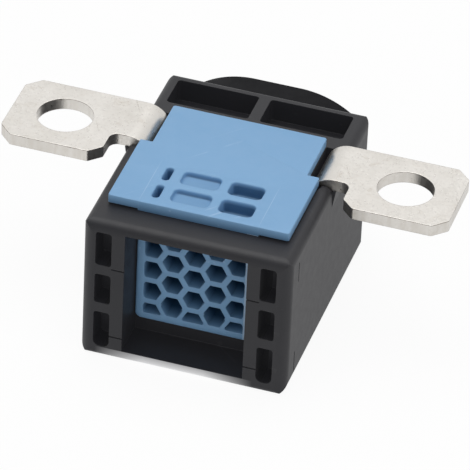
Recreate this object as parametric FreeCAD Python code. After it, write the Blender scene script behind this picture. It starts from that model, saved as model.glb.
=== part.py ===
import FreeCAD, Part
import math
import os

# Pyrotechnic battery disconnect: a moulded housing, a blue cover with a honeycomb vent,
# one bent busbar that a piston shears into an arc chamber, and the igniter that drives it.
# X runs along the busbar, Y from the honeycomb front to the socket at the back, Z is up.
# The origin lies on the resting plane, midway between the two stud holes. Millimetres.

# Housing outside
housing_width = 42.4
housing_front = -30.1
housing_rear = 23.9
housing_height = 31.8
edge_radius = 2.3
top_side_radius = 1.7
front_foot_radius = 1.1
rear_edge_radius = 1.0

# Front window and the moulding cores beside it
window_side = 8.75
window_sill = 2.2
window_lintel = 1.7
sill_depth = 8.5
core_inner_gap = 2.65
core_outer_wall = 2.8
core_depth = 5.0
core_first_z = 2.3
core_lower_heights = (8.4, 6.9)
core_top_wall = 2.0
core_rib = 2.2
core_corner = 0.6
core_foot_corner = 1.4
strip_line_z = (5.2, 21.5)
strip_line_width = 0.35
strip_line_depth = 0.3
witness_width = 0.4
witness_depth = 0.3
witness_setback = 5.5
witness_foot = (2.3, 7.2)
witness_head_drops = (7.6, 3.0)

# Cores in the top behind the cover plate, and under the floor
rear_core_length = 8.2
rear_core_wall = 1.8
rear_core_side_walls = (2.5, 3.1)
rear_core_floor_wall = 0.4
rear_core_rib = 2.4
rear_core_rib_x = -0.4
rear_core_corner = 0.7
floor_core_depth = 3.2
floor_core_rib = 1.8
floor_core_columns = 4
floor_core_rows = 5
floor_core_wall = 3.2

# Busbar
bar_thickness = 2.5
tab_half_span = 46.1
tab_width = 20.0
tab_lift = 1.65
tab_corner_cut = 2.8
tab_corner_radius = 0.7
tab_shoulder_gap = 3.5
tab_shoulder_cut = 2.45
neck_front = -2.3
neck_relief_radius = 1.8
hole_offset = 0.2
hole_radius = 5.7
leg_wall = 2.5
neck_bend_inner = 2.5
bridge_bend_inner = 1.5
bridge_height = 12.0
leg_foot_cut = 2.0
score_gap = 0.5
score_depth = 0.9
score_half_width = 0.8
slot_clearance = 0.25

# Support wedge under each tab root
wedge_proud = 0.6
wedge_height = 3.9

# Vent cover, in blue: the cover plate, the block under it and the honeycomb screen
plate_side_setback = 2.75
plate_front_setback = 7.0
plate_notch_gap = 0.8
plate_leg_gap = 0.25
plate_rear_gap = 0.3
flange_thickness = 1.8
pad_thickness = 0.4
plate_corner_radius = 0.5
plate_inner_corner = 0.25
plate_edge_chamfer = 0.2
cover_block_depth = 5.4
insert_clearance = 0.15
insert_front_setback = 7.3
insert_bottom = 5.65
insert_lower_corner = 1.3
insert_front_chamfer = 0.4
comb_depth = 6.0
comb_pitch = 5.1
comb_cell = 3.9
comb_center_x = -0.3
comb_rise = 0.88
comb_side_border = 2.0
comb_border_foot = 1.6
comb_foot_drop = 0.7
comb_columns = 2
comb_rows = 2

# Arc chamber behind the screen, open to it, with guides for the piston blade
chamber_floor = 2.1
chamber_wall = 1.9
chamber_roof = 1.8
chamber_rear_wall = 2.0
guide_wall = 1.2
guide_length = 5.0
guide_clearance = 0.5

# Moulding cores in the cover plate: two rows of a slot, a shallow and a deep pocket
pocket_row_setbacks = (4.55, 10.7)
pocket_length = 4.3
slot_pocket_border = 1.85
slot_pocket_width = 1.5
slot_pocket_depth = 4.0
slot_pocket_corner = 0.7
shallow_pocket_gap = 2.2
shallow_pocket_end = 1.0
shallow_pocket_depth = 1.2
deep_pocket_gap = 2.0
deep_pocket_border = 2.4
deep_pocket_depth = 3.0
pocket_corner = 1.15

# Piston and its bore
axis_rise = 1.1
bore_radius = 8.2
piston_clearance = 0.2
piston_front_gap = 0.3
blade_side_step = 3.2
blade_top_step = 2.7
blade_corner = 0.6
blade_length = 5.0
piston_flange_step = 1.0
piston_flange_thickness = 0.8
bore_step_depth = 11.6
piston_cup_clearance = 0.5
piston_cup_depth = 4.6
seal_groove_width = 1.5
seal_width = 1.2

# Rear cover with the socket
rear_bore_step = 0.4
plug_clearance = 0.2
cover_side_margin = 3.2
cover_top_drop = 0.9
cover_flat_half = 4.8
cover_arch_radius = 18.5
cover_corner = 1.5
cover_depth = 5.3
cover_floor = 2.0
cover_rim = 1.8
collar_depth = 6.2
collar_wall = 2.6
socket_radius = 5.6
web_depth = 4.9
web_thickness = 1.8
plug_groove_setback = 3.3
cover_rib = 1.4
cover_rib_drop = 1.0
screw_side_inset = 5.0
screw_rise = 6.3
screw_radius = 1.5
screw_head_radius = 2.5
screw_head_height = 2.0
screw_head_clearance = 0.2
screw_seat_depth = 3.1
screw_length = 12.5
screw_hole_clearance = 0.05
screw_boss_wall = 0.9
screw_drive_radius = 1.35
screw_drive_depth = 1.3

# Igniter
pin_offset = 1.7
pin_radius = 0.5
pin_proud = 0.6
cup_radius = 3.5
cup_wall = 0.3
charge_length = 5.7
header_thickness = 2.0
header_setback = 2.0
glass_radius = 1.1
ignite_body_radius = 5.5
ignite_nose_radius = 4.6
ignite_nose_length = 1.8
ignite_collar_length = 5.2
ignite_groove_setback = 3.1
ignite_bore_clearance = 0.25
fit = 0.05

# Socket insert and shorting clip
insert_ring_wall = 1.2
insert_ring_length = 6.1
insert_ring_floor = 1.2
key_width = 1.6
key_height = 0.9
clip_thickness = 0.3
clip_length = 1.6
clip_rise = 2.3

# What follows from the sizes above: first the housing and its bore
half_width = housing_width / 2
window_width = housing_width - 2 * window_side
window_head = housing_height - window_lintel
sill_rear = housing_front + sill_depth
axis_z = housing_height / 2 + axis_rise
bore_step_y = housing_rear - bore_step_depth
piston_flange_radius = bore_radius + piston_flange_step
rear_bore_radius = piston_flange_radius + rear_bore_step
rear_core_floor = axis_z + rear_bore_radius + rear_core_floor_wall

# Places along the busbar
tab_top = housing_height + tab_lift
tab_bottom = tab_top - bar_thickness
tab_shoulder_x = half_width + tab_shoulder_gap
hole_x = (tab_shoulder_x + tab_half_span) / 2 - hole_offset
leg_outer_x = half_width - leg_wall
leg_inner_x = leg_outer_x - bar_thickness
neck_bend_outer = neck_bend_inner + bar_thickness
neck_start_x = leg_inner_x + neck_bend_outer
neck_rear = tab_width / 2
bend_z = tab_bottom - neck_bend_inner
bridge_bend_outer = bridge_bend_inner + bar_thickness
bridge_bend_x = leg_outer_x - bridge_bend_outer
bridge_front = neck_front - bridge_bend_outer
bridge_rear = bridge_front + bar_thickness
bridge_bottom = axis_z - bridge_height / 2
bridge_top = bridge_bottom + bridge_height
slot_rear_face = bridge_rear + slot_clearance

# Places in the vent cover
plate_top = housing_height + pad_thickness + flange_thickness
plate_half = half_width - plate_side_setback
plate_front = housing_front + plate_front_setback
plate_rear = neck_rear + plate_rear_gap
insert_half = window_width / 2 - insert_clearance
insert_front = housing_front + insert_front_setback
insert_rear = bridge_front
screen_rear = insert_front + comb_depth
block_bottom = plate_top - cover_block_depth
upper_rear = bridge_rear - slot_clearance / 2
comb_center_z = axis_z + comb_rise
comb_half_width = insert_half - comb_side_border

# Places along the axis of the piston and the igniter
blade_half_width = bore_radius - blade_side_step
blade_half_height = bore_radius - blade_top_step
score_x = blade_half_width + score_gap
piston_front = bridge_rear + piston_front_gap
piston_rear = bore_step_y
piston_cup_radius = ignite_nose_radius + piston_cup_clearance
hollow_front = piston_rear + piston_flange_thickness - piston_cup_depth
piston_groove_y = (piston_front + blade_length + hollow_front) / 2
plug_front = piston_rear + piston_flange_thickness + 2 * fit
plug_groove_y = plug_front + plug_groove_setback
plug_radius = rear_bore_radius - plug_clearance
cover_half_width = half_width - cover_side_margin
cover_top = housing_height - cover_top_drop
cover_rear = housing_rear + cover_depth
collar_rear = housing_rear + collar_depth
collar_radius = socket_radius + collar_wall
web_front = housing_rear - web_depth
web_rear = web_front + web_thickness
screw_x = cover_half_width - screw_side_inset
screw_seat_y = housing_rear + screw_seat_depth
screw_tip_y = screw_seat_y - screw_length
header_rear = web_front - header_setback
header_front = header_rear - header_thickness
cup_front = header_front - charge_length - cup_wall
ignite_shoulder = web_front - ignite_collar_length
ignite_nose_front = ignite_shoulder - ignite_nose_length
ignite_groove_y = web_front - ignite_groove_setback
igniter_bore = ignite_body_radius + ignite_bore_clearance
insert_ring_rear = web_rear + insert_ring_length
pin_end = insert_ring_rear + pin_proud
V = FreeCAD.Vector


# Basic shapes
def box(x0, x1, y0, y1, z0, z1):
    return Part.makeBox(x1 - x0, y1 - y0, z1 - z0, V(x0, y0, z0))


def rod(radius, y0, y1, x=0.0, z=axis_z):
    return Part.makeCylinder(radius, y1 - y0, V(x, y0, z), V(0, 1, 0))


def place(plane, u, v, w):
    if plane == "xy":
        return V(u, v, w)
    if plane == "xz":
        return V(u, w, v)
    return V(w, u, v)


def rounded_wire(corners, plane, w):
    # corners are (u, v, radius); each radius becomes an arc tangent to both sides
    count = len(corners)
    pieces = []
    ends = []
    for i, (u, v, radius) in enumerate(corners):
        here = V(u, v, 0)
        before = V(corners[i - 1][0], corners[i - 1][1], 0) - here
        after = V(corners[(i + 1) % count][0], corners[(i + 1) % count][1], 0) - here
        before.normalize()
        after.normalize()
        if radius <= 0:
            ends.append((here, here))
            pieces.append(None)
            continue
        half = before.getAngle(after) / 2
        reach = radius / math.tan(half)
        start = here + before * reach
        end = here + after * reach
        inward = before + after
        inward.normalize()
        middle = here + inward * (radius / math.sin(half) - radius)
        ends.append((start, end))
        pieces.append((start, middle, end))
    edges = []
    for i in range(count):
        if pieces[i]:
            arc = [place(plane, p.x, p.y, w) for p in pieces[i]]
            edges.append(Part.Arc(*arc).toShape())
        leave = ends[i][1]
        arrive = ends[(i + 1) % count][0]
        if (leave - arrive).Length > 1e-6:
            first = place(plane, leave.x, leave.y, w)
            second = place(plane, arrive.x, arrive.y, w)
            edges.append(Part.LineSegment(first, second).toShape())
    return Part.Wire(edges)


def prism(corners, plane, low, high):
    face = Part.Face(rounded_wire(corners, plane, low))
    return face.extrude(place(plane, 0, 0, high - low))


def rectangle(u0, u1, v0, v1, radius=0.0, upper=None):
    top = radius if upper is None else upper
    return [(u0, v0, radius), (u1, v0, radius), (u1, v1, top), (u0, v1, top)]


def both_sides(shape):
    return [shape, shape.mirror(V(0, 0, 0), V(1, 0, 0))]


def ring(outer, inner, y0, y1):
    return rod(outer, y0, y1).cut(rod(inner, y0 - 1, y1 + 1))


def seal_ring(y, wall_radius):
    # a ring of square section, with half the fit left between it and the wall outside it
    outer = wall_radius - fit / 2
    return ring(outer, outer - seal_width, y - seal_width / 2, y + seal_width / 2)


def seal_groove(y, outer, wall_radius):
    floor = wall_radius - seal_width - fit
    low = y - seal_groove_width / 2
    high = y + seal_groove_width / 2
    return ring(outer + 1, floor, low, high)


# Housing
def housing_body():
    # the block that three rounded outlines share: from above, from the side and from the front
    w = half_width
    low = housing_front
    high = housing_rear
    above = prism(rectangle(-w, w, low, high, edge_radius), "xy", 0, housing_height)
    side = prism([
        (low, 0, front_foot_radius), (high, 0, rear_edge_radius),
        (high, housing_height, rear_edge_radius), (low, housing_height, edge_radius),
    ], "yz", -w, w)
    front = prism(rectangle(-w, w, 0, housing_height, edge_radius, top_side_radius), "xz", low, high)
    return above.common(side).common(front)


def tab_wedge():
    low = tab_bottom - wedge_height
    corners = [
        (half_width - wedge_height, low, 0),
        (half_width, low, 0),
        (half_width + wedge_proud, tab_bottom, 0),
        (half_width - wedge_height, tab_bottom, 0),
    ]
    front = neck_front - slot_clearance
    return prism(corners, "xz", front, neck_rear + slot_clearance)


def neck_notch():
    # clears the bar where it crosses the side wall, and rounds the wall under its bend
    front = neck_front - slot_clearance
    rear = neck_rear + slot_clearance
    over = box(neck_start_x, half_width + 2, front, rear, tab_bottom, housing_height + 1)
    bend = box(leg_inner_x, neck_start_x, front, rear, bend_z, housing_height + 1)
    saddle = Part.makeCylinder(
        neck_bend_inner - slot_clearance, rear - front, V(neck_start_x, front, bend_z), V(0, 1, 0))
    return over.fuse(bend.cut(saddle))


def busbar_slot():
    c = slot_clearance
    outer = leg_outer_x + c
    inner = leg_inner_x - c
    rear = neck_rear + c
    corners = [
        (-outer, rear, 0), (-outer, bridge_front - c, bridge_bend_outer + c),
        (outer, bridge_front - c, bridge_bend_outer + c), (outer, rear, 0),
        (inner, rear, 0), (inner, slot_rear_face, bridge_bend_inner - c),
        (-inner, slot_rear_face, bridge_bend_inner - c), (-inner, rear, 0),
    ]
    return prism(corners, "xy", bridge_bottom - c, housing_height + 1)


def core_levels():
    # the uppermost core fills what the lower ones leave
    levels = []
    low = core_first_z
    for height in core_lower_heights:
        levels.append((low, low + height))
        low += height + core_rib
    levels.append((low, housing_height - core_top_wall))
    return levels


def front_cores():
    inner = window_width / 2 + core_inner_gap
    outer = half_width - core_outer_wall
    cuts = []
    for i, (low, high) in enumerate(core_levels()):
        foot = core_foot_corner if i == 0 else core_corner
        corners = rectangle(inner, outer, low, high, foot, core_corner)
        core = prism(corners, "xz", housing_front - 1, housing_front + core_depth)
        cuts += both_sides(core)
    for z in strip_line_z:
        line = box(
            window_width / 2 - 1, inner, housing_front - 1, housing_front + strip_line_depth,
            z - strip_line_width / 2, z + strip_line_width / 2)
        cuts += both_sides(line)
    return cuts


def witness_grooves():
    y = housing_front + witness_setback
    cuts = []
    head = tuple(housing_height - drop for drop in witness_head_drops)
    for low, high in (witness_foot, head):
        groove = box(half_width - witness_depth, half_width + 1, y, y + witness_width, low, high)
        cuts += both_sides(groove)
    return cuts


def rear_cores():
    rear = housing_rear - rear_core_wall
    front = rear - rear_core_length
    left_wall, right_wall = rear_core_side_walls
    left = rear_core_rib_x - rear_core_rib / 2
    right = rear_core_rib_x + rear_core_rib / 2
    cuts = []
    for x0, x1 in ((left_wall - half_width, left), (right, half_width - right_wall)):
        corners = rectangle(x0, x1, front, rear, rear_core_corner)
        cuts.append(prism(corners, "xy", rear_core_floor, housing_height + 1))
    return cuts


def floor_cores():
    x0 = -half_width + floor_core_wall
    y0 = sill_rear + floor_core_rib
    width = housing_width - 2 * floor_core_wall
    length = housing_rear - floor_core_wall - y0
    cell_x = (width - floor_core_rib * (floor_core_columns - 1)) / floor_core_columns
    cell_y = (length - floor_core_rib * (floor_core_rows - 1)) / floor_core_rows
    cuts = []
    for i in range(floor_core_columns):
        for j in range(floor_core_rows):
            x = x0 + i * (cell_x + floor_core_rib)
            y = y0 + j * (cell_y + floor_core_rib)
            cuts.append(box(x, x + cell_x, y, y + cell_y, -1, floor_core_depth))
    return cuts


def screw_places():
    return [(sx * screw_x, axis_z + sz * screw_rise) for sx in (-1, 1) for sz in (-1, 1)]


def make_housing():
    body = housing_body()
    for wedge in both_sides(tab_wedge()):
        body = body.fuse(wedge)
    half = window_width / 2
    cuts = [
        box(-half, half, housing_front - 1, sill_rear, window_sill, window_head),
        box(-half, half, insert_front - insert_clearance, insert_rear, insert_bottom, housing_height + 1),
        busbar_slot(),
        rod(bore_radius, slot_rear_face - 1, bore_step_y + 1),
        rod(rear_bore_radius, bore_step_y, housing_rear + 1),
    ]
    cuts += both_sides(neck_notch())
    cuts += front_cores() + witness_grooves() + rear_cores() + floor_cores()
    for x, z in screw_places():
        cuts.append(rod(screw_radius + screw_hole_clearance, screw_tip_y - 1, housing_rear + 1, x, z))
    return body.cut(cuts)


# Busbar
def tab_blank():
    front = -tab_width / 2
    rear = tab_width / 2
    cut = tab_corner_cut
    corner = tab_corner_radius
    corners = [
        (neck_start_x, neck_front, 0),
        (tab_shoulder_x, neck_front, neck_relief_radius),
        (tab_shoulder_x, front + tab_shoulder_cut, corner),
        (tab_shoulder_x + tab_shoulder_cut, front, corner),
        (tab_half_span - cut, front, corner),
        (tab_half_span, front + cut, corner),
        (tab_half_span, rear - cut, corner),
        (tab_half_span - cut, rear, corner),
        (neck_start_x, rear, 0),
    ]
    blank = prism(corners, "xy", tab_bottom, tab_top)
    hole = Part.makeCylinder(hole_radius, bar_thickness + 2, V(hole_x, 0, tab_bottom - 1))
    return blank.cut(hole)


def bar_half():
    neck = Part.Face(Part.makePolygon([
        V(neck_start_x, neck_front, tab_bottom), V(neck_start_x, neck_rear, tab_bottom),
        V(neck_start_x, neck_rear, tab_top), V(neck_start_x, neck_front, tab_top),
        V(neck_start_x, neck_front, tab_bottom)]))
    neck_bend = neck.revolve(V(neck_start_x, 0, bend_z), V(0, 1, 0), -90)
    leg = prism([
        (neck_front, bridge_bottom, 0),
        (neck_rear, bridge_bottom, leg_foot_cut),
        (neck_rear, bend_z, 0),
        (neck_front, bend_z, 0),
    ], "yz", leg_inner_x, leg_outer_x)
    edge = Part.Face(Part.makePolygon([
        V(leg_inner_x, neck_front, bridge_bottom), V(leg_outer_x, neck_front, bridge_bottom),
        V(leg_outer_x, neck_front, bridge_top), V(leg_inner_x, neck_front, bridge_top),
        V(leg_inner_x, neck_front, bridge_bottom)]))
    bridge_bend = edge.revolve(V(bridge_bend_x, neck_front, 0), V(0, 0, 1), -90)
    return tab_blank().fuse([neck_bend, leg, bridge_bend])


def score(face_y, inward):
    # a vee across the bridge where the piston breaks it
    return prism([
        (score_x - score_half_width, face_y - inward * 0.01, 0),
        (score_x + score_half_width, face_y - inward * 0.01, 0),
        (score_x, face_y + inward * score_depth, 0),
    ], "xy", bridge_bottom - 1, bridge_top + 1)


def make_busbar():
    bridge = box(-bridge_bend_x, bridge_bend_x, bridge_front, bridge_rear, bridge_bottom, bridge_top)
    bar = bridge.fuse(both_sides(bar_half()))
    cuts = both_sides(score(bridge_front, 1)) + both_sides(score(bridge_rear, -1))
    return bar.cut(cuts).removeSplitter()


# Vent cover
def cover_plate():
    wide = plate_half
    narrow = leg_inner_x - plate_leg_gap
    notch = neck_front - plate_notch_gap
    small = plate_inner_corner
    corners = [
        (-wide, plate_front, plate_corner_radius), (wide, plate_front, plate_corner_radius),
        (wide, notch, small), (narrow, notch, small),
        (narrow, plate_rear, plate_corner_radius), (-narrow, plate_rear, plate_corner_radius),
        (-narrow, notch, small), (-wide, notch, small),
    ]
    plate = prism(corners, "xy", plate_top - flange_thickness, plate_top)
    top_edges = [e for e in plate.Edges if e.BoundBox.ZMin > plate_top - 0.01]
    plate = plate.makeChamfer(plate_edge_chamfer, top_edges)
    pad = box(-insert_half, insert_half, plate_front, plate_rear, housing_height, plate_top - flange_thickness)
    return plate.fuse(pad)


def screen_blank():
    corners = rectangle(-insert_half, insert_half, insert_bottom, housing_height, insert_lower_corner, 0)
    screen = prism(corners, "xz", insert_front, screen_rear)
    rim = [e for e in screen.Edges if e.BoundBox.YMax < insert_front + 0.01
           and e.BoundBox.ZMin < housing_height - 0.01]
    screen = screen.makeChamfer(insert_front_chamfer, rim)
    block = box(-insert_half, insert_half, screen_rear, upper_rear, block_bottom, housing_height)
    heel = box(-insert_half, insert_half, insert_rear, upper_rear, bridge_top + slot_clearance, block_bottom)
    return screen.fuse([block, heel])


def comb_cell_at(x, z):
    corner_radius = comb_cell / math.sqrt(3)
    corners = []
    for k in range(6):
        angle = math.radians(60 * k)
        corners.append((x + corner_radius * math.cos(angle), z + corner_radius * math.sin(angle), 0))
    return prism(corners, "xz", insert_front - 1, screen_rear + 1)


def comb_cells():
    # flat-topped hexagons through the screen; its border cuts off the outer ones
    column_pitch = comb_pitch * math.sqrt(3) / 2
    foot = insert_bottom + comb_border_foot
    left = comb_center_x - comb_half_width
    right = comb_center_x + comb_half_width
    border = box(left, right, insert_front - 1, screen_rear + 1, foot, block_bottom)
    cells = []
    for i in range(-comb_columns, comb_columns + 1):
        x = comb_center_x + i * column_pitch
        shift = comb_pitch / 2 if i % 2 else 0.0
        for j in range(-comb_rows, comb_rows + 1):
            z = comb_center_z + j * comb_pitch + shift
            cell = comb_cell_at(x, z)
            if 0 < z - comb_cell / 2 - foot < 2 * comb_foot_drop:
                cell = cell.fuse(comb_cell_at(x, z - comb_foot_drop))
            cell = cell.common(border)
            if cell.Volume > 0:
                cells.append(cell)
    return cells


def plate_pockets():
    slot_left = slot_pocket_border - insert_half
    slot_right = slot_left + slot_pocket_width
    shallow_left = slot_right + shallow_pocket_gap
    deep_left = shallow_pocket_end + deep_pocket_gap
    deep_right = insert_half - deep_pocket_border
    sizes = (
        (slot_left, slot_right, slot_pocket_depth, slot_pocket_corner),
        (shallow_left, shallow_pocket_end, shallow_pocket_depth, pocket_corner),
        (deep_left, deep_right, deep_pocket_depth, pocket_corner),
    )
    cuts = []
    for setback in pocket_row_setbacks:
        y = plate_front + setback
        for x0, x1, depth, corner in sizes:
            corners = rectangle(x0, x1, y - pocket_length / 2, y + pocket_length / 2, corner)
            cuts.append(prism(corners, "xy", plate_top - depth, plate_top + 1))
    return cuts


def make_vent_cover():
    body = cover_plate().fuse(screen_blank()).removeSplitter()
    return body.cut(comb_cells() + plate_pockets())


# Arc chamber
def make_arc_chamber():
    front = screen_rear
    high = block_bottom
    body = box(-insert_half, insert_half, front, insert_rear, insert_bottom, high)
    half = insert_half - chamber_wall
    floor = insert_bottom + chamber_floor
    roof = high - chamber_roof
    rear = insert_rear - chamber_rear_wall
    cavity = box(-half, half, front - 1, rear, floor, roof)
    guide_x = blade_half_width + guide_clearance
    guide = box(guide_x, guide_x + guide_wall, rear - guide_length, rear, floor, roof)
    for wall in both_sides(guide):
        cavity = cavity.cut(wall)
    reach = blade_half_height + guide_clearance
    window = box(-guide_x, guide_x, rear - 1, insert_rear + 1, axis_z - reach, axis_z + reach)
    return body.cut([cavity, window])


# Piston
def make_piston():
    radius = bore_radius - piston_clearance
    blade_end = piston_front + blade_length
    blade = prism(
        rectangle(-blade_half_width, blade_half_width, axis_z - blade_half_height, axis_z + blade_half_height,
                  blade_corner), "xz", piston_front, blade_end)
    head = rod(radius, blade_end, piston_rear + fit)
    lip = rod(piston_flange_radius, piston_rear + fit, piston_rear + fit + piston_flange_thickness)
    hollow = rod(piston_cup_radius, hollow_front, piston_rear + 3)
    groove = seal_groove(piston_groove_y, radius, bore_radius)
    return blade.fuse([head, lip]).cut([hollow, groove])


# Rear cover
def cover_outline(inset, y0, y1):
    # a flat top that runs into an arc down to each side, the same below the axis
    radius = cover_arch_radius - inset
    side = cover_half_width - inset
    flat = cover_flat_half
    center = cover_top - cover_arch_radius
    top = center + radius
    shoulder = center + math.sqrt(radius ** 2 - (side - flat) ** 2)
    middle_x = (flat + side) / 2
    middle_z = center + math.sqrt(radius ** 2 - (middle_x - flat) ** 2)

    def at(x, z):
        return V(x, y0, z)

    def low(z):
        return 2 * axis_z - z

    edges = [
        Part.LineSegment(at(-flat, top), at(flat, top)),
        Part.Arc(at(flat, top), at(middle_x, middle_z), at(side, shoulder)),
        Part.LineSegment(at(side, shoulder), at(side, low(shoulder))),
        Part.Arc(at(side, low(shoulder)), at(middle_x, low(middle_z)), at(flat, low(top))),
        Part.LineSegment(at(flat, low(top)), at(-flat, low(top))),
        Part.Arc(at(-flat, low(top)), at(-middle_x, low(middle_z)), at(-side, low(shoulder))),
        Part.LineSegment(at(-side, low(shoulder)), at(-side, shoulder)),
        Part.Arc(at(-side, shoulder), at(-middle_x, middle_z), at(-flat, top)),
    ]
    return Part.Face(Part.Wire([e.toShape() for e in edges])).extrude(V(0, y1 - y0, 0))


def make_rear_cover():
    flange = cover_outline(0, housing_rear, cover_rear)
    uprights = [e for e in flange.Edges if abs(e.BoundBox.YLength - (cover_rear - housing_rear)) < 0.01
                and abs(abs(e.BoundBox.XMin) - cover_half_width) < 0.01]
    flange = flange.makeFillet(cover_corner, uprights)
    floor = housing_rear + cover_floor
    moat = cover_outline(cover_rim, floor, cover_rear + 1)
    boss_radius = screw_head_radius + screw_boss_wall
    keep = [rod(collar_radius, floor, cover_rear + 1)]
    for x, z in screw_places():
        keep.append(rod(boss_radius, floor, screw_seat_y, x, z))
    rib = cover_rib / 2
    rib_rear = cover_rear - cover_rib_drop
    keep.append(box(-cover_half_width, cover_half_width, floor, rib_rear, axis_z - rib, axis_z + rib))
    keep.append(box(-rib, rib, floor, rib_rear, axis_z - cover_half_width, axis_z + cover_half_width))
    body = flange.cut(moat.cut(keep))
    body = body.fuse([rod(plug_radius, plug_front, housing_rear), rod(collar_radius, housing_rear, collar_rear)])
    cuts = [
        rod(igniter_bore, plug_front - 1, web_front),
        rod(socket_radius, web_rear, collar_rear + 1),
        seal_groove(plug_groove_y, plug_radius, rear_bore_radius),
    ]
    for side in (-1, 1):
        cuts.append(rod(pin_radius + ignite_bore_clearance, web_front - 1, web_rear + 1, side * pin_offset))
        key = box(-key_width / 2, key_width / 2, web_rear, collar_rear + 1, 0, socket_radius + key_height)
        cuts.append(key.rotate(V(0, 0, 0), V(0, 1, 0), 90 * side + 90).translate(V(0, 0, axis_z)))
    for x, z in screw_places():
        cuts.append(rod(screw_radius + screw_hole_clearance, housing_rear - 1, cover_rear + 1, x, z))
        cuts.append(rod(screw_head_radius + screw_head_clearance, screw_seat_y, cover_rear + 1, x, z))
    return body.cut(cuts).removeSplitter()


def make_screw(x, z):
    shank = rod(screw_radius, screw_tip_y, screw_seat_y, x, z)
    head = rod(screw_head_radius, screw_seat_y, screw_seat_y + screw_head_height, x, z)
    rear = screw_seat_y + screw_head_height
    corners = []
    for k in range(6):
        angle = math.radians(60 * k)
        corners.append((x + screw_drive_radius * math.cos(angle), z + screw_drive_radius * math.sin(angle), 0))
    drive = prism(corners, "xz", rear - screw_drive_depth, rear + 1)
    return shank.fuse(head).cut(drive)


# Igniter
def make_igniter_cup():
    can = rod(cup_radius, cup_front, header_rear)
    return can.cut(rod(cup_radius - cup_wall, cup_front + cup_wall, header_rear + 1))


def make_igniter_charge():
    return rod(cup_radius - cup_wall - fit, cup_front + cup_wall, header_front)


def make_igniter_header():
    disc = rod(cup_radius - cup_wall - fit, header_front, header_rear)
    return disc.cut(rod(glass_radius, header_front - 1, header_rear + 1, -pin_offset))


def make_igniter_glass():
    bead = rod(glass_radius, header_front, header_rear, -pin_offset)
    return bead.cut(rod(pin_radius, header_front - 1, header_rear + 1, -pin_offset))


def make_pin(side):
    start = header_front if side < 0 else header_rear
    pin = rod(pin_radius, start, pin_end, side * pin_offset)
    tip = [e for e in pin.Edges if e.BoundBox.YMin > pin_end - 0.01]
    return pin.makeChamfer(pin_radius / 2, tip)


def make_igniter_body():
    rear = web_front
    nose = rod(ignite_nose_radius, ignite_nose_front, ignite_shoulder)
    collar = rod(ignite_body_radius, ignite_shoulder, rear)
    cuts = [
        rod(cup_radius + fit, ignite_nose_front - 1, header_rear),
        seal_groove(ignite_groove_y, ignite_body_radius, igniter_bore),
    ]
    for side in (-1, 1):
        cuts.append(rod(pin_radius + fit, header_rear - 1, rear + 1, side * pin_offset))
    return nose.fuse(collar).cut(cuts)


# Socket
def make_socket_insert():
    outer = socket_radius - fit
    inner = outer - insert_ring_wall
    body = rod(outer, web_rear, insert_ring_rear)
    floor = web_rear + insert_ring_floor
    cuts = [rod(inner, floor, insert_ring_rear + 1)]
    for side in (-1, 1):
        cuts.append(rod(pin_radius + 2 * fit, web_rear - 1, floor + 1, side * pin_offset))
        key = box(-key_width / 2, key_width / 2, floor, insert_ring_rear + 1, 0, outer + 1)
        cuts.append(key.rotate(V(0, 0, 0), V(0, 1, 0), 90 * side + 90).translate(V(0, 0, axis_z)))
    return body.cut(cuts)


def make_shorting_clip():
    floor = web_rear + insert_ring_floor
    foot = axis_z + pin_radius
    top = foot + clip_rise
    outer = pin_offset + clip_thickness / 2
    inner = outer - clip_thickness
    corners = [
        (-outer, foot, 0), (-inner, foot, 0), (-inner, top - clip_thickness, clip_thickness),
        (inner, top - clip_thickness, clip_thickness), (inner, foot, 0), (outer, foot, 0),
        (outer, top, 2 * clip_thickness), (-outer, top, 2 * clip_thickness),
    ]
    return prism(corners, "xz", floor, floor + clip_length)


# Build
parts = {
    "housing": make_housing(),
    "vent_cover": make_vent_cover(),
    "arc_chamber": make_arc_chamber(),
    "busbar": make_busbar(),
    "piston": make_piston(),
    "piston_seal": seal_ring(piston_groove_y, bore_radius),
    "rear_cover": make_rear_cover(),
    "rear_cover_seal": seal_ring(plug_groove_y, rear_bore_radius),
    "igniter_cup": make_igniter_cup(),
    "igniter_charge": make_igniter_charge(),
    "igniter_header": make_igniter_header(),
    "igniter_glass": make_igniter_glass(),
    "igniter_pin_left": make_pin(-1),
    "igniter_pin_right": make_pin(1),
    "igniter_body": make_igniter_body(),
    "igniter_seal": seal_ring(ignite_groove_y, igniter_bore),
    "socket_insert": make_socket_insert(),
    "shorting_clip": make_shorting_clip(),
}
for number, (x, z) in enumerate(screw_places(), start=1):
    parts["rear_screw_%d" % number] = make_screw(x, z)

os.makedirs("parts", exist_ok=True)
for name, shape in parts.items():
    solids = shape.Solids
    print(name, "solids", len(solids), "valid", shape.isValid(), "volume", round(shape.Volume, 1))
    shape = solids[0] if len(solids) == 1 else shape
    shape.exportStep("parts/%s.step" % name)
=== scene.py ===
import math

import bmesh
import bpy
from mathutils import Matrix, Vector


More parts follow.
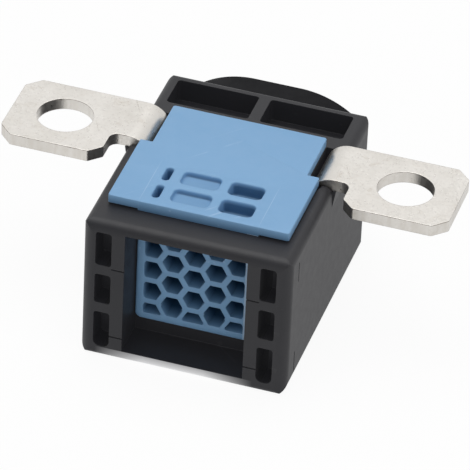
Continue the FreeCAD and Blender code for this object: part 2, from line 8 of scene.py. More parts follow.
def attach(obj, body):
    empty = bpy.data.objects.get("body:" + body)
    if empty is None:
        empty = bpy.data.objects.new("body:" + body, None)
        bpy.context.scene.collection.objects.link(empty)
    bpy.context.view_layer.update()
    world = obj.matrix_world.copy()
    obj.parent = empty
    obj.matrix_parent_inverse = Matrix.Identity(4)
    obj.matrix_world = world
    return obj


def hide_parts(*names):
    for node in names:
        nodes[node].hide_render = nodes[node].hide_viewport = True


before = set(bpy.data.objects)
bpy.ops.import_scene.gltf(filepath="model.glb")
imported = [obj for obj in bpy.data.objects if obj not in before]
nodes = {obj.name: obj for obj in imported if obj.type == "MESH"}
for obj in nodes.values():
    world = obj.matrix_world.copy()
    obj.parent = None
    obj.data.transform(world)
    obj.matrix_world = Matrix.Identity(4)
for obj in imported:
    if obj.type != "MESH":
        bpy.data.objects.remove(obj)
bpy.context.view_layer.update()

# Battery disconnect fuse, in metres and in the frame of the solids:
# X along the busbar, Y to the socket, Z up. The dictionaries of sizes are in millimetres.
mm = 0.001


# Small helpers for node trees
def addNode(tree, kind, **settings):
    node = tree.nodes.new(kind)
    for name, value in settings.items():
        setattr(node, name, value)
    return node


def feed(tree, node, **sources):
    # each source is a socket to link or a plain value to set; underscores stand for spaces
    for name, source in sources.items():
        socket = node.inputs[name.replace("_", " ")]
        if isinstance(source, bpy.types.NodeSocket):
            tree.links.new(source, socket)
        else:
            socket.default_value = source
    return node


def mathNode(tree, operation, first, second=None, clamp=False):
    node = addNode(tree, "ShaderNodeMath", operation=operation, use_clamp=clamp)
    for socket, source in zip(node.inputs, (first, second)):
        if isinstance(source, bpy.types.NodeSocket):
            tree.links.new(source, socket)
        elif source is not None:
            socket.default_value = source
    return node.outputs[0]


def remap(tree, source, low, high, toLow, toHigh):
    node = addNode(tree, "ShaderNodeMapRange", clamp=True)
    feed(tree, node, Value=source, From_Min=low, From_Max=high, To_Min=toLow, To_Max=toHigh)
    return node.outputs["Result"]


def mixColour(tree, factor, first, second):
    # the node has one set of sockets for each kind of value; these indices are those of the colours
    node = addNode(tree, "ShaderNodeMix", data_type="RGBA")
    for index, source in ((0, factor), (6, first), (7, second)):
        if isinstance(source, bpy.types.NodeSocket):
            tree.links.new(source, node.inputs[index])
        else:
            node.inputs[index].default_value = source
    return node.outputs[2]


def product(tree, *factors):
    result = factors[0]
    for factor in factors[1:]:
        result = mathNode(tree, "MULTIPLY", result, factor)
    return result


def noise(tree, place, scale, detail=2.0, roughness=0.5, distortion=0.0):
    node = addNode(tree, "ShaderNodeTexNoise")
    feed(tree, node, Vector=place, Scale=scale, Detail=detail, Roughness=roughness, Distortion=distortion)
    return node.outputs["Fac"]


def stretched(tree, place, scale):
    return feed(tree, addNode(tree, "ShaderNodeMapping"), Vector=place, Scale=scale).outputs[0]


def split(tree, vector):
    node = addNode(tree, "ShaderNodeSeparateXYZ")
    tree.links.new(vector, node.inputs[0])
    return node.outputs


def surfaceNormal(tree):
    return addNode(tree, "ShaderNodeNewGeometry").outputs["Normal"]


def makeGroup(name, inputs, outputs):
    # inputs and outputs are (label, kind); each material that uses the group feeds every input
    group = bpy.data.node_groups.new(name, "ShaderNodeTree")
    for label, kind in inputs:
        group.interface.new_socket(label, in_out="INPUT", socket_type=kind)
    for label, kind in outputs:
        group.interface.new_socket(label, in_out="OUTPUT", socket_type=kind)
    return group, group.nodes.new("NodeGroupInput").outputs, group.nodes.new("NodeGroupOutput").inputs


def placeGroup(tree, group, **sources):
    node = addNode(tree, "ShaderNodeGroup", node_tree=group)
    return feed(tree, node, **sources)


floatSocket = "NodeSocketFloat"
vectorSocket = "NodeSocketVector"
intSocket = "NodeSocketInt"


# Effects that several finishes share
softEdgeSizes = {
    "samples": 6, "flat": 0.99, "sharp": 0.75, "patchScale": 900.0, "patchDetail": 3.0,
    "patchLow": 0.35, "patchHigh": 0.6, "leastWearAndHighlight": 0.25,
}


def makeSoftEdge():
    # a small radius on every edge, and a mask of where handling rubs it, which also carries a painted
    # highlight along the edges
    size = softEdgeSizes
    group, start, end = makeGroup(
        "softEdge", [("Radius", floatSocket), ("Vector", vectorSocket)],
        [("Normal", vectorSocket), ("Worn And Highlit", floatSocket)])
    bevel = feed(group, addNode(group, "ShaderNodeBevel", samples=size["samples"]), Radius=start["Radius"])
    dot = addNode(group, "ShaderNodeVectorMath", operation="DOT_PRODUCT")
    group.links.new(bevel.outputs[0], dot.inputs[0])
    group.links.new(surfaceNormal(group), dot.inputs[1])
    turned = remap(group, dot.outputs["Value"], size["flat"], size["sharp"], 0.0, 1.0)
    patches = noise(group, start["Vector"], size["patchScale"], size["patchDetail"])
    broken = remap(group, patches, size["patchLow"], size["patchHigh"], size["leastWearAndHighlight"], 1.0)
    group.links.new(bevel.outputs[0], end["Normal"])
    group.links.new(mathNode(group, "MULTIPLY", turned, broken, clamp=True), end["Worn And Highlit"])
    return group


skinSizes = {
    "grainDetail": 4.0, "grainRoughness": 0.62, "grainShare": 0.85,
    "flowStretch": (28.0, 95.0, 70.0), "flowDetail": 3.0,
    "flowDistortion": 0.6, "flowLow": 0.3, "flowHigh": 0.7,
    "glossLow": 0.35, "glossHigh": 0.65,
}


def makeMouldedSkin():
    # fine spark texture, a slow orange peel under it and pale flow marks
    size = skinSizes
    group, start, end = makeGroup(
        "mouldedSkin", [("Vector", vectorSocket), ("Grain", floatSocket), ("Peel", floatSocket)],
        [("Height", floatSocket), ("Tone", floatSocket), ("Gloss", floatSocket)])
    place = start["Vector"]
    grain = noise(group, place, start["Grain"], size["grainDetail"], size["grainRoughness"])
    peel = noise(group, place, start["Peel"])
    flowPlace = stretched(group, place, size["flowStretch"])
    flow = noise(group, flowPlace, 1.0, size["flowDetail"], distortion=size["flowDistortion"])
    fine = product(group, grain, size["grainShare"])
    coarse = product(group, peel, 1 - size["grainShare"])
    group.links.new(mathNode(group, "ADD", fine, coarse), end["Height"])
    group.links.new(remap(group, flow, size["flowLow"], size["flowHigh"], 0.0, 1.0), end["Tone"])
    group.links.new(remap(group, peel, size["glossLow"], size["glossHigh"], 0.0, 1.0), end["Gloss"])
    return group


def makeFlecks():
    # scattered specks: each cell of a Voronoi pattern may hold one
    group, start, end = makeGroup(
        "flecks",
        [("Vector", vectorSocket), ("Scale", floatSocket), ("Share", floatSocket), ("Size", floatSocket)],
        [("Mask", floatSocket)])
    cells = addNode(group, "ShaderNodeTexVoronoi")
    feed(group, cells, Vector=start["Vector"], Scale=start["Scale"])
    parts = addNode(group, "ShaderNodeSeparateColor")
    group.links.new(cells.outputs["Color"], parts.inputs[0])
    chosen = mathNode(group, "LESS_THAN", parts.outputs[0], start["Share"])
    reach = product(group, parts.outputs[1], start["Size"])
    inside = mathNode(group, "LESS_THAN", cells.outputs["Distance"], reach)
    group.links.new(product(group, chosen, inside), end["Mask"])
    return group


hairlineSizes = {
    "stretch": (0.035, 1.0, 1.0), "detail": 1.0, "thinLow": 0.66, "thinHigh": 0.72,
    "breakScale": 150.0, "breakLow": 0.5, "breakHigh": 0.62,
}


def makeHairlines():
    # long thin scratches in one direction, broken up along their length
    size = hairlineSizes
    group, start, end = makeGroup(
        "hairlines", [("Vector", vectorSocket), ("Turn", floatSocket), ("Spacing", floatSocket)],
        [("Mask", floatSocket)])
    turn = addNode(group, "ShaderNodeVectorRotate", rotation_type="Z_AXIS")
    turned = feed(group, turn, Vector=start["Vector"], Angle=start["Turn"]).outputs[0]
    lines = noise(group, stretched(group, turned, size["stretch"]), start["Spacing"], size["detail"])
    breaks = noise(group, turned, size["breakScale"])
    thin = remap(group, lines, size["thinLow"], size["thinHigh"], 0.0, 1.0)
    kept = remap(group, breaks, size["breakLow"], size["breakHigh"], 0.0, 1.0)
    group.links.new(product(group, thin, kept), end["Mask"])
    return group


def makeBand():
    # one between two levels of a value, with a soft step at each end
    group, start, end = makeGroup(
        "band",
        [("Value", floatSocket), ("Low", floatSocket), ("High", floatSocket), ("Soft", floatSocket)],
        [("Mask", floatSocket)])
    aboveLow = mathNode(group, "SUBTRACT", start["Value"], start["Low"])
    belowHigh = mathNode(group, "SUBTRACT", start["High"], start["Value"])
    up = mathNode(group, "DIVIDE", aboveLow, start["Soft"], clamp=True)
    down = mathNode(group, "DIVIDE", belowHigh, start["Soft"], clamp=True)
    group.links.new(product(group, up, down), end["Mask"])
    return group


softEdge = makeSoftEdge()
band = makeBand()
mouldedSkin = makeMouldedSkin()
flecks = makeFlecks()
hairlines = makeHairlines()
print("shared effects ready")


# Finishes
def startMaterial(name):
    material = bpy.data.materials.new(name)
    material.use_nodes = True
    tree = material.node_tree
    tree.nodes.clear()
    shader = tree.nodes.new("ShaderNodeBsdfPrincipled")
    output = tree.nodes.new("ShaderNodeOutputMaterial")
    tree.links.new(shader.outputs[0], output.inputs["Surface"])
    place = tree.nodes.new("ShaderNodeTexCoord").outputs["Object"]
    return material, tree, shader, place


def bandMask(tree, value, low, high, soft):
    node = placeGroup(tree, band, Value=value, Low=low * mm, High=high * mm, Soft=soft * mm)
    return node.outputs["Mask"]


def isAbove(tree, value, level):
    return mathNode(tree, "GREATER_THAN", value, level * mm)


def isBelow(tree, value, level):
    return mathNode(tree, "LESS_THAN", value, level * mm)


def fade(tree, value, low, high, atLow, atHigh):
    return remap(tree, value, low * mm, high * mm, atLow, atHigh)


def flashAndHighlightMask(tree, place, marks):
    # thin raised lines where two halves of the mould met, and a painted highlight along the right border of
    # the screen
    x, y, z = split(tree, place)
    inner = marks["lineX"] - marks["lineHalf"]
    outer = marks["lineX"] + marks["lineHalf"]
    line = bandMask(tree, mathNode(tree, "ABSOLUTE", x), inner, outer, marks["lineSoft"])
    length = bandMask(tree, y, marks["lineFront"], marks["lineRear"], marks["lineFade"])
    line = product(tree, line, length, isAbove(tree, z, marks["lineLow"]), marks["lineShow"])
    # painted highlight: a pale sliver on the right border of the screen, beside the window
    rim = product(tree, isAbove(tree, x, marks["rimX"]), isBelow(tree, y, marks["rimY"]))
    rim = product(tree, rim, isBelow(tree, z, marks["lineLow"]), marks["rimShow"])
    return mathNode(tree, "MAXIMUM", line, rim)


def paintedShadeMask(tree, place, marks):
    # painted shade: the pockets' walls that face the front are painted dark, their floors less so,
    # and the plate's front edge is painted darker downwards
    y, z = split(tree, place)[1:]
    facing = split(tree, surfaceNormal(tree))[1]
    turned = remap(tree, facing, *marks["wallFacing"], 0.0, 1.0)
    walls = fade(tree, z, marks["wallLow"], marks["wallTop"], marks["wallMost"], 0.0)
    walls = product(tree, walls, turned, isAbove(tree, y, marks["wallY"]))
    floors = fade(tree, z, marks["shadeFloor"], marks["shadeTop"], marks["floorMost"], 0.0)
    front = fade(tree, z, marks["shadeFloor"], marks["shadeTop"], marks["shadeMost"], 0.0)
    front = product(tree, front, isBelow(tree, y, marks["shadeY"]))
    plate = mathNode(tree, "MAXIMUM", mathNode(tree, "MAXIMUM", walls, floors), front)
    plate = product(tree, plate, isAbove(tree, z, marks["shadeLow"]))
    # painted shade: the cells of the screen are painted darker with depth
    inward = fade(tree, y, marks["cellFront"], marks["cellRear"], 0.0, 1.0)
    cells = product(tree, inward, isBelow(tree, z, marks["cellTop"]))
    return mathNode(tree, "MAXIMUM", plate, mathNode(tree, "POWER", cells, marks["cellBend"]))


def paintedGlareMask(tree, place, marks):
    # painted reflection: the foot of the front frame is painted paler and given a glow for the glare of the
    # floor, most of all in the middle
    x, y, z = split(tree, place)
    along = bandMask(tree, x, marks["lipLeft"], marks["lipRight"], marks["lipFade"])
    depth = fade(tree, z, 0.0, marks["lipTop"], 1.0, marks["lipUpper"])
    return product(tree, along, isBelow(tree, y, marks["lipY"]), isBelow(tree, z, marks["lipTop"]), depth)


def paintedCoreShadeMask(tree, place, marks):
    # painted shade: little light gets into the narrow cores beside the window, so they are painted darker
    x, y, z = split(tree, place)
    soft = marks["coreSoft"]
    across = bandMask(tree, mathNode(tree, "ABSOLUTE", x), marks["coreInner"], marks["coreOuter"], soft)
    inward = bandMask(tree, y, marks["coreFront"], marks["coreRear"], soft)
    return product(tree, across, inward, isBelow(tree, z, marks["coreTop"]))


markings = {"shade": paintedShadeMask, "flashAndRimHighlight": flashAndHighlightMask, "lip": paintedGlareMask, "core": paintedCoreShadeMask}
plasticSizes = {"rubbedSmoother": 0.08, "refraction": 1.5}


def mouldedPlastic(name, look):
    # a look may add any of the markings above, each with a dictionary of its own
    material, tree, shader, place = startMaterial(name)
    edge = placeGroup(tree, softEdge, Radius=look["edge"], Vector=place)
    skin = placeGroup(tree, mouldedSkin, Vector=place, Grain=look["grain"], Peel=look["peel"])
    specks = placeGroup(tree, flecks, Vector=place, Scale=look["speckScale"])
    feed(tree, specks, Share=look["speckShare"], Size=look["speckSize"])
    scuffs = placeGroup(tree, hairlines, Vector=place, Turn=look["scuffTurn"], Spacing=look["scuffSpacing"])
    edgeWearAndHighlight = edge.outputs["Worn And Highlit"]
    colour = mixColour(tree, skin.outputs["Tone"], look["dark"], look["light"])
    # painted highlight: the edges are painted paler, partly as wear from handling and partly as the light
    # they catch
    colour = mixColour(tree, product(tree, edgeWearAndHighlight, look["wearAndHighlightAmount"]), colour, look["wornAndHighlitColour"])
    colour = mixColour(tree, product(tree, scuffs.outputs["Mask"], look["scuff"]), colour, look["wornAndHighlitColour"])
    colour = mixColour(tree, product(tree, specks.outputs["Mask"], look["speck"]), colour, look["dust"])
    rough = remap(tree, skin.outputs["Gloss"], 0.0, 1.0, *look["roughness"])
    smoother = product(tree, edgeWearAndHighlight, plasticSizes["rubbedSmoother"])
    rough = mathNode(tree, "SUBTRACT", rough, smoother, clamp=True)
    masks = {}
    for key, makeMask in markings.items():
        if key in look:
            masks[key] = makeMask(tree, place, look[key])
            colour = mixColour(tree, masks[key], colour, look[key]["colour"])
    # painted glow: a faint even emission lifts the black plastics, and on the housing the lip's painted
    # glare adds to it
    paintedGlow = look["paintedGlow"]
    if "lip" in masks:
        paintedGlow = mixColour(tree, masks["lip"], paintedGlow, look["lip"]["glare"])
    if "core" in masks:
        rough = mathNode(tree, "MAXIMUM", rough, product(tree, masks["core"], look["core"]["coreRough"]))
    bump = addNode(tree, "ShaderNodeBump")
    feed(tree, bump, Strength=look["bump"], Distance=look["bumpDepth"])
    feed(tree, bump, Height=skin.outputs["Height"], Normal=edge.outputs["Normal"])
    feed(tree, shader, Base_Color=colour, Roughness=rough, Normal=bump.outputs[0])
    feed(tree, shader, Specular_IOR_Level=look["shine"], IOR=plasticSizes["refraction"])
    feed(tree, shader, Emission_Color=paintedGlow, Emission_Strength=1.0)
    return material


platingSizes = {
    "cloudDetail": 5.0, "cloudRoughness": 0.6, "haze": (0.35, 0.7), "mattDetail": 3.0, "matt": (0.3, 0.7),
    "side": (0.3, 0.6), "streakStretch": (1.0, 1.0, 0.12), "streaks": (0.42, 0.62),
    "stainDetail": 6.0, "stainRoughness": 0.7, "stainDistortion": 1.2, "stains": (0.56, 0.72),
    "burrs": (0.38, 0.55), "leastBurr": 0.25,
    "lineGloss": 0.12, "tornRough": 0.2, "pitDepth": 0.8, "lineDepth": 0.3,
}


def platedMetal(name, look):
    size = platingSizes
    material, tree, shader, place = startMaterial(name)
    edge = placeGroup(tree, softEdge, Radius=look["edge"], Vector=place)
    pits = placeGroup(tree, flecks, Vector=place, Scale=look["pitScale"])
    pits = feed(tree, pits, Share=look["pitShare"], Size=look["pitSize"]).outputs["Mask"]
    lines = placeGroup(tree, hairlines, Vector=place, Turn=look["lineTurn"], Spacing=look["lineSpacing"])
    lines = lines.outputs["Mask"]
    cloud = noise(tree, place, look["cloudScale"], size["cloudDetail"], size["cloudRoughness"])
    matt = noise(tree, place, look["mattScale"], size["mattDetail"])
    colour = mixColour(tree, remap(tree, cloud, *size["haze"], 0.0, 1.0), look["light"], look["dark"])
    # the sheared sides are streaked from top to bottom
    level = mathNode(tree, "ABSOLUTE", split(tree, surfaceNormal(tree))[2])
    side = remap(tree, level, *size["side"], 1.0, 0.0)
    streaks = noise(tree, stretched(tree, place, size["streakStretch"]), look["streakScale"])
    torn = product(tree, side, remap(tree, streaks, *size["streaks"], 0.0, look["torn"]))
    colour = mixColour(tree, torn, colour, look["sheared"])
    # dull stains, and a dark burr along the upper edge of the sheared sides
    patches = noise(tree, place, look["stainScale"], size["stainDetail"], size["stainRoughness"],
                    size["stainDistortion"])
    stain = remap(tree, patches, *size["stains"], 0.0, look["stain"])
    colour = mixColour(tree, stain, colour, look["stained"])
    broken = remap(tree, patches, *size["burrs"], size["leastBurr"], look["burr"])
    burr = product(tree, side, isAbove(tree, split(tree, place)[2], look["burrLevel"]), broken)
    colour = mixColour(tree, burr, colour, look["burred"])
    # hairlines and pits
    colour = mixColour(tree, product(tree, lines, look["line"]), colour, look["stained"])
    colour = mixColour(tree, product(tree, pits, look["pit"]), colour, look["pitted"])
    rough = remap(tree, matt, *size["matt"], *look["roughness"])
    rough = mathNode(tree, "SUBTRACT", rough, product(tree, lines, size["lineGloss"]))
    rough = mathNode(tree, "ADD", rough, product(tree, torn, size["tornRough"]), clamp=True)
    height = mathNode(tree, "SUBTRACT", matt, product(tree, pits, size["pitDepth"]))
    height = mathNode(tree, "SUBTRACT", height, product(tree, lines, size["lineDepth"]))
    bump = addNode(tree, "ShaderNodeBump")
    feed(tree, bump, Strength=look["bump"], Distance=look["bumpDepth"], Height=height)
    feed(tree, bump, Normal=edge.outputs["Normal"])
    feed(tree, shader, Base_Color=colour, Roughness=rough, Normal=bump.outputs[0], Metallic=1.0)
    return material


blackLook = {
    "dark": (0.0100, 0.0102, 0.0130, 1),
    "light": (0.0150, 0.0148, 0.0178, 1), "wornAndHighlitColour": (0.055, 0.055, 0.058, 1),
    "dust": (0.22, 0.21, 0.20, 1), "wearAndHighlightAmount": 0.55, "scuff": 0.22, "speck": 0.5, "edge": 0.00022,
    "grain": 3400.0, "peel": 520.0, "bump": 0.12,
    "bumpDepth": 0.00003, "roughness": (0.44, 0.47), "shine": 0.34,
    "speckScale": 430.0, "speckShare": 0.06, "speckSize": 0.10, "scuffTurn": 0.7, "scuffSpacing": 700.0,
    "paintedGlow": (0.0055, 0.0056, 0.0063, 1),
}
housingLook = dict(blackLook)
# painted reflection on the foot of the front frame: a paler colour and a glow
housingLook["lip"] = {
    "lipLeft": -18.0, "lipRight": 14.5, "lipFade": 10.0, "lipY": -28.4, "lipTop": 2.15, "lipUpper": 0.45,
    "colour": (0.30, 0.30, 0.30, 1), "glare": (0.62, 0.62, 0.63, 1),
}
# painted shade in the narrow cores beside the window: a darker colour and more roughness
housingLook["core"] = {
    "coreInner": 12.6, "coreOuter": 16.3, "coreFront": -29.85,
    "coreRear": -24.9, "coreTop": 29.9, "coreSoft": 0.1,
    "coreRough": 0.9, "colour": (0.0040, 0.0040, 0.0048, 1),
}
deepBlackLook = dict(blackLook)
deepBlackLook.update({
    "dark": (0.0042, 0.0042, 0.0050, 1),
    "light": (0.0062, 0.0062, 0.0070, 1), "wornAndHighlitColour": (0.03, 0.03, 0.032, 1),
    "roughness": (0.50, 0.62), "shine": 0.06, "wearAndHighlightAmount": 0.35, "scuff": 0.12, "bump": 0.2,
})
blueLook = {
    "dark": (0.205, 0.395, 0.635, 1), "light": (0.222, 0.415, 0.655, 1), "wornAndHighlitColour": (0.50, 0.68, 0.88, 1),
    "dust": (0.55, 0.66, 0.78, 1), "wearAndHighlightAmount": 0.85, "scuff": 0.30, "speck": 0.35, "edge": 0.0002,
    "grain": 3000.0, "peel": 380.0, "bump": 0.22,
    "bumpDepth": 0.00005, "roughness": (0.44, 0.56), "shine": 0.4,
    "speckScale": 430.0, "speckShare": 0.05, "speckSize": 0.08, "scuffTurn": 2.3, "scuffSpacing": 800.0,
    "paintedGlow": (0, 0, 0, 1),
}
# painted shade for the pockets, the plate's front edge and the screen's cells
blueLook["shade"] = {
    "shadeFloor": 31.2, "shadeTop": 33.6, "shadeY": -22.95,
    "shadeLow": 30.5, "shadeMost": 0.86, "floorMost": 0.42,
    "wallFacing": (-0.3, -0.8), "wallY": -22.5, "wallLow": 32.9, "wallTop": 33.75, "wallMost": 0.80,
    "cellFront": -22.75, "cellRear": -19.0, "cellTop": 28.8, "cellBend": 0.7,
    "colour": (0.021, 0.080, 0.175, 1),
}
# the mould's flash lines, and a painted highlight on the screen's right border
blueLook["flashAndRimHighlight"] = {
    "lineX": 12.2, "lineHalf": 0.09, "lineSoft": 0.05,
    "lineFront": -24.0, "lineRear": -8.0, "lineFade": 5.0,
    "lineLow": 31.9, "lineShow": 0.38, "rimX": 10.04, "rimY": -22.7, "rimShow": 0.7,
    "colour": (0.50, 0.66, 0.84, 1),
}
socketLook = {
    "dark": (0.62, 0.36, 0.03, 1), "light": (0.68, 0.42, 0.04, 1), "wornAndHighlitColour": (0.80, 0.60, 0.20, 1),
    "dust": (0.7, 0.6, 0.4, 1), "wearAndHighlightAmount": 0.4, "scuff": 0.1, "speck": 0.2, "edge": 0.00012,
    "grain": 4200.0, "peel": 700.0, "bump": 0.2,
    "bumpDepth": 0.00004, "roughness": (0.38, 0.48), "shine": 0.45,
    "speckScale": 400.0, "speckShare": 0.04, "speckSize": 0.1, "scuffTurn": 0.2, "scuffSpacing": 1200.0,
    "paintedGlow": (0, 0, 0, 1),
}
rubberLook = {
    "dark": (0.010, 0.010, 0.010, 1), "light": (0.016, 0.016, 0.016, 1), "wornAndHighlitColour": (0.04, 0.04, 0.04, 1),
    "dust": (0.10, 0.10, 0.10, 1), "wearAndHighlightAmount": 0.3, "scuff": 0.05, "speck": 0.2, "edge": 0.0001,
    "grain": 5000.0, "peel": 900.0, "bump": 0.2,
    "bumpDepth": 0.00003, "roughness": (0.6, 0.75), "shine": 0.3,
    "speckScale": 500.0, "speckShare": 0.04, "speckSize": 0.1, "scuffTurn": 0.2, "scuffSpacing": 1500.0,
    "paintedGlow": (0, 0, 0, 1),
}
chargeLook = {
    "dark": (0.22, 0.19, 0.14, 1), "light": (0.34, 0.30, 0.24, 1), "wornAndHighlitColour": (0.40, 0.36, 0.30, 1),
    "dust": (0.08, 0.07, 0.06, 1), "wearAndHighlightAmount": 0.3, "scuff": 0.0, "speck": 0.8, "edge": 0.0001,
    "grain": 2600.0, "peel": 1400.0, "bump": 0.7,
    "bumpDepth": 0.00012, "roughness": (0.8, 0.95), "shine": 0.2,
    "speckScale": 2200.0, "speckShare": 0.4, "speckSize": 0.4, "scuffTurn": 0.0, "scuffSpacing": 900.0,
    "paintedGlow": (0, 0, 0, 1),
}
barLook = {
    "light": (0.716, 0.692, 0.655, 1), "dark": (0.640, 0.614, 0.573, 1), "sheared": (0.50, 0.45, 0.38, 1),
    "pitted": (0.33, 0.30, 0.26, 1), "edge": 0.0002,
    "pitScale": 480.0, "pitShare": 0.025, "pitSize": 0.14,
    "pit": 0.4, "lineTurn": 1.1, "lineSpacing": 900.0,
    "line": 0.30, "cloudScale": 120.0, "mattScale": 2400.0,
    "stained": (0.50, 0.45, 0.39, 1), "stainScale": 260.0, "stain": 0.55,
    "burred": (0.16, 0.13, 0.11, 1), "burrLevel": 33.30, "burr": 0.85,
    "streakScale": 1100.0, "torn": 0.18, "roughness": (0.26, 0.42), "bump": 0.25, "bumpDepth": 0.00005,
}
steelLook = {
    "light": (0.62, 0.64, 0.66, 1), "dark": (0.48, 0.50, 0.52, 1), "sheared": (0.40, 0.40, 0.40, 1),
    "pitted": (0.20, 0.20, 0.20, 1), "edge": 0.0001, "pitScale": 1400.0, "pitShare": 0.12, "pitSize": 0.2,
    "pit": 0.4, "lineTurn": 0.4, "lineSpacing": 2600.0,
    "line": 0.2, "cloudScale": 400.0, "mattScale": 5200.0,
    "stained": (0.34, 0.34, 0.34, 1), "stainScale": 900.0, "stain": 0.3,
    "burred": (0.2, 0.2, 0.2, 1), "burrLevel": 40.0, "burr": 0.0,
    "streakScale": 3600.0, "torn": 0.15, "roughness": (0.25, 0.4), "bump": 0.2, "bumpDepth": 0.00003,
}
goldLook = {
    "light": (0.86, 0.66, 0.28, 1), "dark": (0.76, 0.55, 0.20, 1), "sheared": (0.62, 0.42, 0.16, 1),
    "pitted": (0.40, 0.26, 0.10, 1), "edge": 0.00005,
    "pitScale": 2600.0, "pitShare": 0.08, "pitSize": 0.2,
    "pit": 0.3, "lineTurn": 0.3, "lineSpacing": 4200.0,
    "line": 0.2, "cloudScale": 600.0, "mattScale": 8000.0,
    "stained": (0.55, 0.38, 0.15, 1), "stainScale": 1500.0, "stain": 0.2,
    "burred": (0.3, 0.2, 0.1, 1), "burrLevel": 40.0, "burr": 0.0,
    "streakScale": 5200.0, "torn": 0.15, "roughness": (0.18, 0.3), "bump": 0.15, "bumpDepth": 0.00002,
}
glassLook = {
    "bubbleScale": 2600.0, "bubbleShare": 0.3, "bubbleSize": 0.3, "bubble": (0.5, 0.56, 0.5, 1),
    "cloudScale": 1200.0, "cloud": (0.3, 0.7),
    "dark": (0.16, 0.22, 0.17, 1), "light": (0.26, 0.33, 0.27, 1),
    "roughness": (0.08, 0.2), "bump": 0.2, "bumpDepth": 0.00003,
}


def fusedGlass(name, look):
    material, tree, shader, place = startMaterial(name)
    bubbles = placeGroup(tree, flecks, Vector=place, Scale=look["bubbleScale"])
    feed(tree, bubbles, Share=look["bubbleShare"], Size=look["bubbleSize"])
    cloud = noise(tree, place, look["cloudScale"])
    colour = mixColour(tree, cloud, look["dark"], look["light"])
    colour = mixColour(tree, bubbles.outputs["Mask"], colour, look["bubble"])
    rough = remap(tree, cloud, *look["cloud"], *look["roughness"])
    bump = addNode(tree, "ShaderNodeBump")
    feed(tree, bump, Strength=look["bump"], Distance=look["bumpDepth"], Height=cloud)
    feed(tree, shader, Base_Color=colour, Roughness=rough, Normal=bump.outputs[0])
    return material


blackPolyamide = mouldedPlastic("blackPolyamide", housingLook)
deepBlackPolyamide = mouldedPlastic("deepBlackPolyamide", deepBlackLook)
bluePolyamide = mouldedPlastic("bluePolyamide", blueLook)
socketPlastic = mouldedPlastic("socketPlastic", socketLook)
sealRubber = mouldedPlastic("sealRubber", rubberLook)
pressedCharge = mouldedPlastic("pressedCharge", chargeLook)
platedBar = platedMetal("platedBar", barLook)
zincSteel = platedMetal("zincSteel", steelLook)
goldPin = platedMetal("goldPin", goldLook)
headerGlass = fusedGlass("headerGlass", glassLook)
print("finishes ready")

finishOfNode = {
    "housing": blackPolyamide, "arc_chamber": deepBlackPolyamide, "rear_cover": deepBlackPolyamide,
    "piston": deepBlackPolyamide, "igniter_body": deepBlackPolyamide, "vent_cover": bluePolyamide,
    "busbar": platedBar,
    "piston_seal": sealRubber, "rear_cover_seal": sealRubber, "igniter_seal": sealRubber,
    "igniter_cup": zincSteel, "igniter_header": zincSteel, "igniter_charge": pressedCharge,
    "igniter_glass": headerGlass, "igniter_pin_left": goldPin, "igniter_pin_right": goldPin,
    "shorting_clip": goldPin, "socket_insert": socketPlastic,
}
for name, node in nodes.items():
    # the rear screws have no entry above
    finish = finishOfNode.get(name, zincSteel)
    if not node.material_slots:
        node.data.materials.append(finish)
    for slot in node.material_slots:
        slot.material = finish


# Building helpers for the pieces that replace a node
def newObject(name, mesh):
    thing = bpy.data.objects.new(name, mesh)
    bpy.context.scene.collection.objects.link(thing)
    return thing


def makePlain(thing):
    # what the modifiers give becomes the object's own mesh
    evaluated = thing.evaluated_get(bpy.context.evaluated_depsgraph_get())
    mesh = bpy.data.meshes.new_from_object(evaluated)
    thing.modifiers.clear()
    thing.data = mesh
    return thing


def shadeByAngle(thing, degrees):
    thing.data.shade_smooth()
    thing.data.set_sharp_from_angle(angle=math.radians(degrees))


def boxCorners(u0, u1, v0, v1, radius, upperRadius=None):
    upper = radius if upperRadius is None else upperRadius
    return [(u0, v0, radius), (u1, v0, radius), (u1, v1, upper), (u0, v1, upper)]


def roundedOutline(corners, inset, steps=6):
    # corners run anticlockwise as (u, v, radius); the whole outline moves inwards by inset
    points = []
    for index, (u, v, radius) in enumerate(corners):
        here = Vector((u, v))
        arriving = (here - Vector(corners[index - 1][:2])).normalized()
        leaving = (Vector(corners[(index + 1) % len(corners)][:2]) - here).normalized()
        inFirst = Vector((-arriving.y, arriving.x))
        inSecond = Vector((-leaving.y, leaving.x))
        turn = math.atan2(arriving.x * leaving.y - arriving.y * leaving.x, arriving.dot(leaving))
        side = math.copysign(1.0, turn)
        corner = here + (inFirst + inSecond) * inset / (1 + inFirst.dot(inSecond))
        bend = max(radius - side * inset, smallestBend)
        start = corner - arriving * bend * math.tan(abs(turn) / 2)
        middle = start + inFirst * side * bend
        first = math.atan2(start.y - middle.y, start.x - middle.x)
        for step in range(steps + 1):
            angle = first + turn * step / steps
            points.append((middle.x + bend * math.cos(angle), middle.y + bend * math.sin(angle)))
    return points


def roundedLayers(low, high, lowRound, highRound, steps=3):
    # levels with the inset that gives a quarter round at each end; a negative round flares outwards
    layers = []
    for step in range(steps + 1):
        angle = math.pi / 2 * step / steps
        reach = abs(lowRound)
        layers.append((low + reach * (1 - math.cos(angle)), lowRound * (1 - math.sin(angle))))
    for step in range(steps + 1):
        angle = math.pi / 2 * step / steps
        reach = abs(highRound)
        layers.append((high - reach * (1 - math.sin(angle)), highRound * (1 - math.cos(angle))))
    return layers


